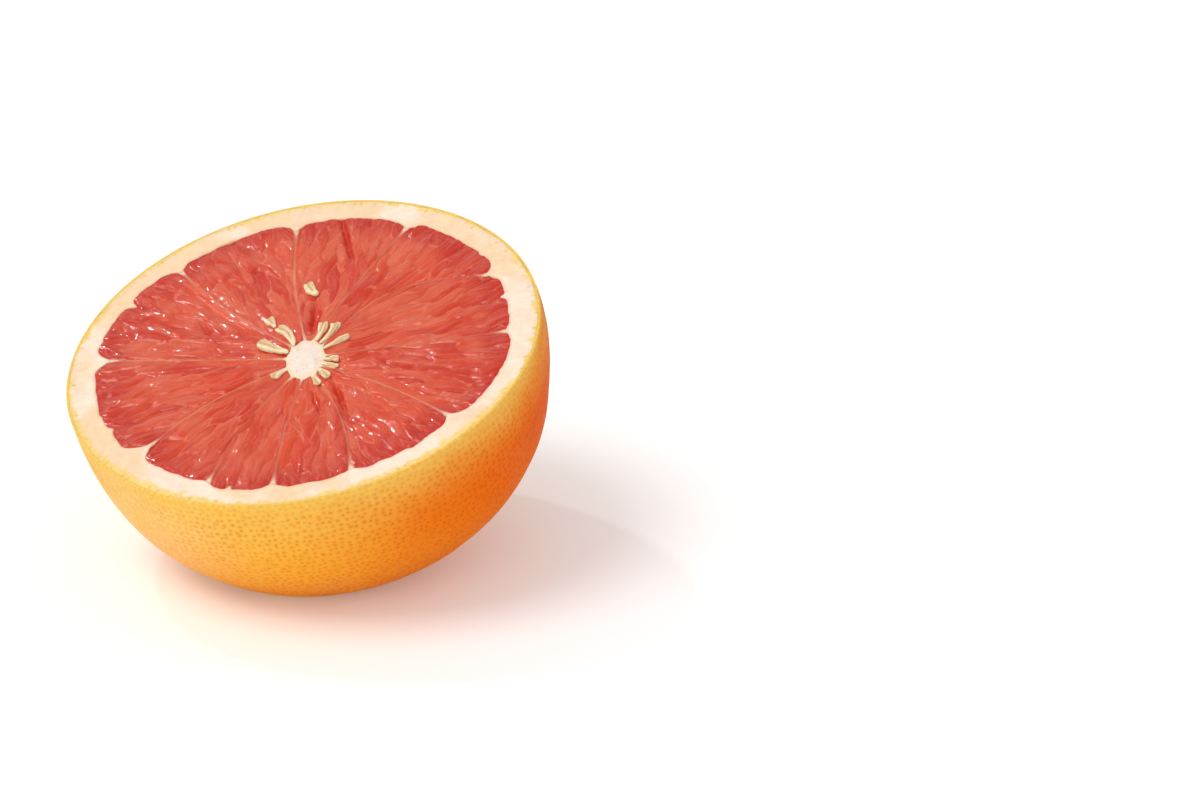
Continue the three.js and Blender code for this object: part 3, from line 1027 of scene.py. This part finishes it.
def build_segment(index, material):
    rng = np.random.default_rng(100 + index)
    grid, across, up = segment_grid(index)
    shape = across.shape
    flat = grid.reshape(-1, 2)
    up = up.ravel()
    left, right = septum_distances(index, flat, across.ravel(), up)
    septum_distance = np.minimum(left, right)
    cavity_radius = np.linalg.norm(cavity_at(degrees_round(flat)), axis=1)
    back_distance = cavity_radius - np.linalg.norm(flat, axis=1)
    behind = np.maximum(back_distance, 0)
    core_distance = up * SEGMENT_LENGTH

    height, wall, crown, tone, grain = sac_relief(index, flat, rng)
    height += 0.1 * np.exp(-behind / 3) * noise(flat, 1.3, 106, 1)
    band = smooth_band(index, flat, left, right, up)
    height = mix(height, -0.05 - 0.12 * septum_distance, 0.85 * band)
    hollow = hollow_depth(index, flat)
    height -= hollow

    # The flesh sinks a little at the pith, and each septum stands up as a thin pale edge.
    sunk = 1 - smooth(0.0, 1.3, back_distance)
    height = height - 0.1 * sunk
    ends = np.exp(-behind / 1.6) + 0.2 * np.exp(-core_distance / 1.5)
    half_width = SEPTUM_HALF_WIDTH * (1 + 1.8 * ends + 0.25 * noise(flat, 4, 94))
    edge = 1 - smooth(half_width, 2.0 * half_width, septum_distance)
    height = mix(height, -0.06 + 0.06 * noise(flat, 1.6, 98), edge)

    # Colour: coral red, milkier inside each sac, and deeper red at the pith and in hollows, partly the
    # juice's own red and partly painted shade.
    milky = (0.4 + 0.6 * crown) * smooth(0.1, 0.9, tone + 0.6 * noise(flat, 8, 99))
    warm = smooth(-0.1, 1.0, noise(flat, 9, 101 + index))
    # Darker red near the pith: partly the juice's own red, partly painted shade at the flesh's sinking
    # edge.
    crimson_and_shade = 1 - smooth(1.0, 9.0, back_distance + 2 * noise(flat, 6, 102))
    # A deeper red where the flesh sinks at the pith and in the hollows: partly the juice's colour, partly
    # painted shade.
    deep = np.clip(0.7 * sunk + smooth(0.2, 1.6, hollow), 0, 1)
    base = layered(srgb(201, 50, 24), [
        ((214, 71, 37), tone),
        ((220, 106, 76), 0.65 * milky),
        ((220, 70, 30), 0.55 * warm),
        ((224, 84, 46), 0.75 * band),
        ((190, 34, 18), 0.68 * crimson_and_shade),
        ((214, 34, 18), 0.75 * deep),
    ])

    # Each septum is a faint line, and clearer at its ends.
    pale_end = 0.9 * np.exp(-core_distance / 2.2) + 1.2 * np.exp(-behind / 2.2)
    line = layered(srgb(242, 142, 104), [((253, 224, 192), np.clip(pale_end, 0, 1))])
    line_share = 1 - smooth(0.5 * half_width, 1.5 * half_width, septum_distance)
    clear = np.where(left < right, SEPTUM_CLEAR[index], SEPTUM_CLEAR[(index + 1) % len(SEPTA)])
    faint = clear * np.clip(0.75 + 0.5 * noise(flat, 5, 104), 0.2, 1)
    faint = np.clip(np.maximum(faint, pale_end), 0, 0.97)
    tint = mixed_colour(base, line, faint * line_share)
    wall = np.maximum(wall, 2 * np.maximum(edge, band))
    wall = wall + 0.25 * smooth(-0.45, 0.35, noise(flat, 3, 103 + index))

    corners, faces = segment_solid(flat, height, shape)
    count = len(corners)
    node = f"segment_{index + 1:02d}"
    finished_piece(f"{node}_flesh", corners, faces, material, node, {
        "tint": extended(tint, count, srgb(200, 48, 38)),
        "wall": extended(wall, count, 1.0),
        "grain": extended(grain, count, 0.0),
    })


# ---- the core

CORE_STEPS = 24  # between two septa
CORE_RINGS = 33
CORE_DEPTHS = (0.5, 1.5, 4, 10, 20, 30, 38)


def build_core(material):
    across = np.arange(CORE_STEPS) / CORE_STEPS
    outline = np.concatenate([core_side(index, across) for index in range(len(SEPTA))])
    count = len(outline)
    parts = [np.array([[*CORE_MIDDLE, 0.25]])]
    shares = 1 - (1 - np.linspace(0, 1, CORE_RINGS + 1)[1:]) ** 1.2
    for share in shares:
        flat = mix(CORE_MIDDLE, outline, share)
        height = 0.25 * (1 - share**3) + 0.14 * noise(flat, 1.3, 111) + 0.16 * noise(flat, 3.5, 112)
        parts.append(np.column_stack([flat, height - 0.05]))
    parts += [tapered(outline, depth, CAVITY_DEPTH) for depth in CORE_DEPTHS]
    faces = fan_faces(1, count, 0)
    start = 1
    for _ in range(CORE_RINGS + len(CORE_DEPTHS) - 1):
        faces += ring_faces(start, count, start + count, count)
        start += count
    parts.append(parts[-1].mean(axis=0, keepdims=True))
    faces += fan_faces(start, count, start + count)
    corners = np.concatenate(parts)
    edge = np.zeros(len(corners))
    edge[1:1 + CORE_RINGS * count] = np.repeat(shares, count)
    speck = smooth(0.75, 0.95, noise(corners, 0.7, 114, 1)) * (1 - smooth(0.6, 0.9, edge))
    tint = layered(srgb(246, 228, 214), [
        ((250, 222, 186), smooth(0.6, 1.0, edge)),
        ((242, 212, 196), 0.8 * smooth(0.2, 0.9, noise(corners, 1.8, 113))),
        ((206, 160, 132), 0.6 * speck),
    ])
    finished_piece("core_face", corners, faces, material, "core", {"tint": tint})


# ---- the pips

PIP_ROWS = 48
PIP_COLUMNS = 40
PIP_PLUMPNESS = 1.15  # the husks flare a little wider than their seeds
STALK_REACH = 3.5  # a pip this close to the core is joined to it


def build_pip(index, material):
    """A shrivelled pip: a folded husk, narrow at the core and blunt at its outer end."""
    around, out, turn, length, width, thickness = PIPS[index]
    rng = np.random.default_rng(300 + index)
    along = direction(around + turn)
    sideways = np.array([-along[1], along[0]])
    at_core = core_ellipse(around)
    place = CORE_MIDDLE + direction(around) * (np.linalg.norm(at_core - CORE_MIDDLE) + out)
    joined = out - length / 2 < STALK_REACH
    start = at_core if joined else place - along * length / 2
    end = place + along * length / 2
    control = 2 * place - (start + end) / 2
    bend = rng.uniform(-0.12, 0.12) * length
    lean_up = rng.uniform(0.0, 0.25) * thickness
    narrow = rng.uniform(0.35, 0.6)
    fold_turn = rng.uniform(-0.5, 0.5)
    angles = 2 * np.pi * np.arange(PIP_COLUMNS) / PIP_COLUMNS
    square = 1 / (np.abs(np.cos(angles)) ** 3 + np.abs(np.sin(angles)) ** 3) ** (1 / 3)
    rings = []
    folds = []
    for row in range(1, PIP_ROWS):
        share = row / PIP_ROWS
        swell = mix(narrow, 1.0, smooth(0.0, 0.75, share))
        swell *= math.sqrt(1 - max((share - 0.86) / 0.14, (0.1 - share) / 0.1, 0) ** 2)
        fold = np.exp(-((angles - math.pi / 2 - fold_turn * (1 - share)) / 0.42) ** 2)
        fold += 0.7 * np.exp(-((angles - math.pi / 2 - 1.5 + share) / 0.25) ** 2)
        fold *= smooth(0.05, 0.4, share)
        radius = swell * square * (1 - 0.42 * fold)
        across = np.cos(angles) * radius * PIP_PLUMPNESS * width / 2 + bend * math.sin(math.pi * share)
        up = np.sin(angles) * radius * thickness / 2 + lean_up * share
        up -= 0.25 * thickness * smooth(0.55, 0.85, share) * np.exp(-((angles - 1.3) / 0.7) ** 2)
        flat = mix(mix(start, control, share), mix(control, end, share), share)
        flat = flat + across[:, None] * sideways
        rings.append(np.column_stack([flat, up]))
        folds.append(fold)
    corners = np.concatenate([[[*start, 0.0]], *rings, [[*end, lean_up]]])
    fold = np.concatenate([[0], *folds, [0]])
    outwards = corners - np.array([*place, 0.0])
    outwards /= np.maximum(np.linalg.norm(outwards, axis=1), 0.3)[:, None]
    wrinkle = noise(corners, 1.0, 121 + index, 3)
    corners = corners + outwards * 0.17 * wrinkle[:, None]
    corners[:, 2] += 0.12 * thickness
    faces = fan_faces(1, PIP_COLUMNS, 0)
    first = 1
    for _ in range(PIP_ROWS - 2):
        faces += ring_faces(first, PIP_COLUMNS, first + PIP_COLUMNS, PIP_COLUMNS)
        first += PIP_COLUMNS
    faces += fan_faces(first, PIP_COLUMNS, len(corners) - 1)
    # Darker in the husk's folds and dents: painted shade.
    tint = layered(srgb(251, 232, 190), [
        ((206, 150, 84), 0.8 * np.clip(fold, 0, 1)),
        ((218, 166, 96), 0.6 * smooth(0.3, 1.1, -wrinkle)),
    ])
    node = f"pip_{index + 1:02d}"
    finished_piece(f"{node}_seed", corners, faces, material, node, {"tint": tint})


# ---- camera, lights and floor

CAMERA_PITCH = 22
CAMERA_OFFSET = (64.67, -676.62, 260.52)  # from the middle of the face, in millimetres
FLOOR_SIZE = 6.0


def add_camera():
    data = bpy.data.cameras.new("camera")
    data.lens = 100
    data.sensor_width = 36
    data.clip_start = 0.01
    camera = bpy.data.objects.new("camera", data)
    camera.location = Vector((FACE_MIDDLE + np.array(CAMERA_OFFSET)) * MM)
    camera.rotation_euler = (math.radians(90 - CAMERA_PITCH), 0, 0)
    bpy.context.collection.objects.link(camera)
    bpy.context.scene.camera = camera


def add_sun(name, azimuth, elevation, spread, strength):
    """A soft distant light; azimuth is where it comes from, anticlockwise from +x."""
    data = bpy.data.lights.new(name, "SUN")
    data.angle = math.radians(spread)
    data.energy = strength
    light = bpy.data.objects.new(name, data)
    level, rise = direction(elevation)
    towards = Vector((*(-direction(azimuth) * level), -rise))
    light.rotation_euler = towards.to_track_quat("-Z", "Y").to_euler()
    bpy.context.collection.objects.link(light)


def add_surroundings():
    world = bpy.data.worlds.new("studio")
    world.use_nodes = True
    background = world.node_tree.nodes["Background"]
    background.inputs["Color"].default_value = (1, 1, 1, 1)
    background.inputs["Strength"].default_value = 0.6
    bpy.context.scene.world = world
    bpy.context.scene.view_settings.view_transform = "Standard"

    mesh = bpy.data.meshes.new("floor")
    half = FLOOR_SIZE / 2
    mesh.from_pydata(
        [(-half, -half, 0), (half, -half, 0), (half, half, 0), (-half, half, 0)], [], [(0, 1, 2, 3)]
    )
    material, tree = new_material("floor")
    close_material(tree, {
        "Base Color": (0.95, 0.945, 0.94, 1),
        "Roughness": 0.6,
        "Specular IOR Level": 0.2,
        "Emission Color": (1, 1, 1, 1),
        "Emission Strength": 0.14,
    })
    mesh.materials.append(material)
    floor = bpy.data.objects.new("floor", mesh)
    bpy.context.collection.objects.link(floor)

    add_sun("key", 205, 58, 30, 1.15)
    add_sun("fill", 265, 35, 60, 0.3)
    add_sun("sparkle", 140, 52, 3.5, 0.28)


# ---- the model

add_camera()
add_surroundings()
build_peel(peel_material())
build_pith(pith_material())
pulp = pulp_material()
for number in range(len(SEPTA)):
    build_segment(number, pulp)
build_core(core_material())
seed = pip_material()
for number in range(len(PIPS)):
    build_pip(number, seed)
